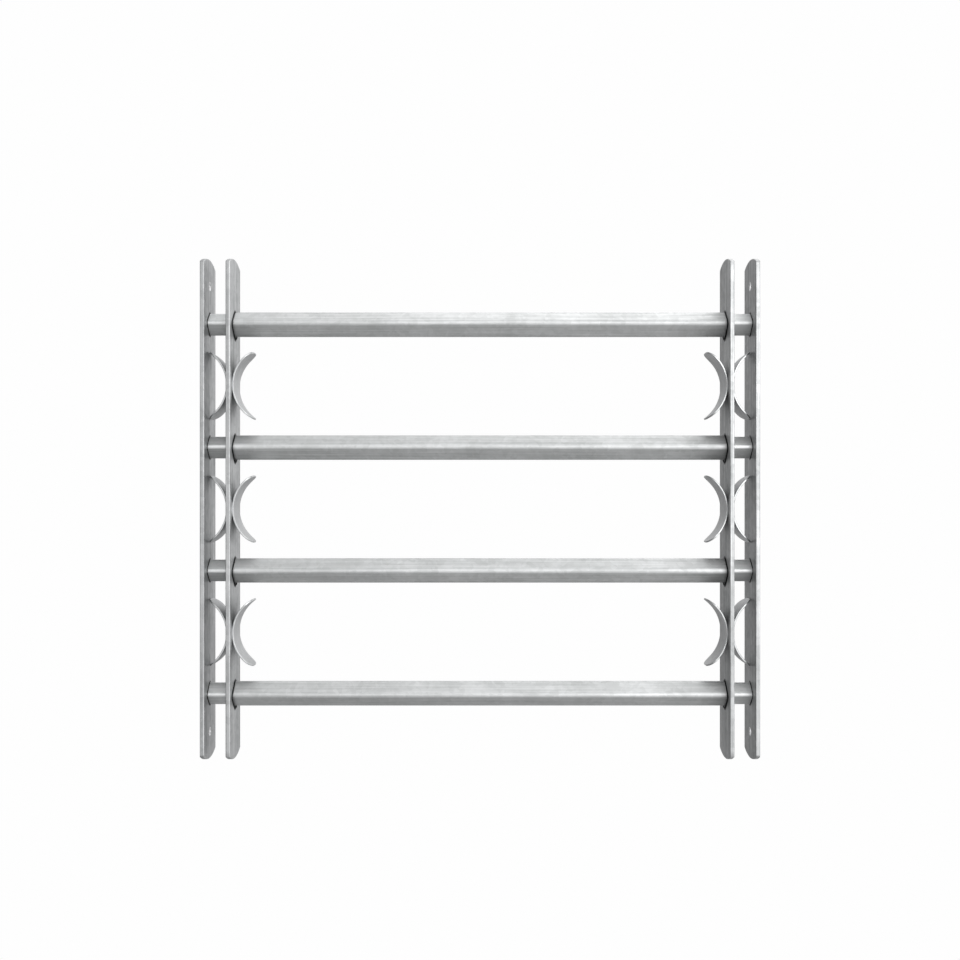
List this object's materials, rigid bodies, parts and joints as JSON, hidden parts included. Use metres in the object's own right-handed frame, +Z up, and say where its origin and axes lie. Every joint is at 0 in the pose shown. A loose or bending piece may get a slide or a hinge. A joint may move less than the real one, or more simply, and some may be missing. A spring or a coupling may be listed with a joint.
{
  "type": "window security bar",
  "caption": "Telescopic window security grille: square crossbars set on edge slide in sleeves between flat side bars, with sliding plates of curved strips.",
  "frame": {"origin": "centre of the closed grille's box, half way between the wall faces and between the top and the bottom of the flat bars", "axes": "+X across the window from the left wall to the right wall, +Y through the window away from the front, +Z up along the flat bars"},
  "size_m": [0.496, 0.04, 0.45],
  "materials": {
    "sleeve_tube": "hot-dip galvanised, satin, fine spangle",
    "sliding_tube": "galvanised, satin",
    "flat_bar": "galvanised, satin, fine rolling lines",
    "scroll_strip": "galvanised, satin",
    "weld": "ground flush and galvanised over"
  },
  "bodies": {
    "centre_tubes": {"sleeve_1": "sleeve_tube", "sleeve_2": "sleeve_tube", "sleeve_3": "sleeve_tube", "sleeve_4": "sleeve_tube"},
    "left_frame": {"left_side_plate": "flat_bar", "left_tube_1": "sliding_tube", "left_tube_2": "sliding_tube", "left_tube_3": "sliding_tube", "left_tube_4": "sliding_tube", "left_tube_welds": "weld"},
    "right_frame": {"right_side_plate": "flat_bar", "right_tube_1": "sliding_tube", "right_tube_2": "sliding_tube", "right_tube_3": "sliding_tube", "right_tube_4": "sliding_tube", "right_tube_welds": "weld"},
    "left_slider": {"left_slider_plate": "flat_bar", "left_scroll_out_1": "scroll_strip", "left_scroll_out_2": "scroll_strip", "left_scroll_out_3": "scroll_strip", "left_scroll_in_1": "scroll_strip", "left_scroll_in_2": "scroll_strip", "left_scroll_in_3": "scroll_strip"},
    "right_slider": {"right_slider_plate": "flat_bar", "right_scroll_out_1": "scroll_strip", "right_scroll_out_2": "scroll_strip", "right_scroll_out_3": "scroll_strip", "right_scroll_in_1": "scroll_strip", "right_scroll_in_2": "scroll_strip", "right_scroll_in_3": "scroll_strip"}
  },
  "joints": [
    {"name": "left_frame_slide", "type": "slide", "parent": "centre_tubes", "child": "left_frame", "axis": [-1, 0, 0], "range_m": [0, 0.162]},
    {"name": "right_frame_slide", "type": "slide", "parent": "centre_tubes", "child": "right_frame", "axis": [1, 0, 0], "range_m": [0, 0.162]},
    {"name": "left_slider_slide", "type": "slide", "parent": "centre_tubes", "child": "left_slider", "axis": [1, 0, 0], "range_m": [0, 0.2]},
    {"name": "right_slider_slide", "type": "slide", "parent": "centre_tubes", "child": "right_slider", "axis": [-1, 0, 0], "range_m": [0, 0.2]}
  ]
}
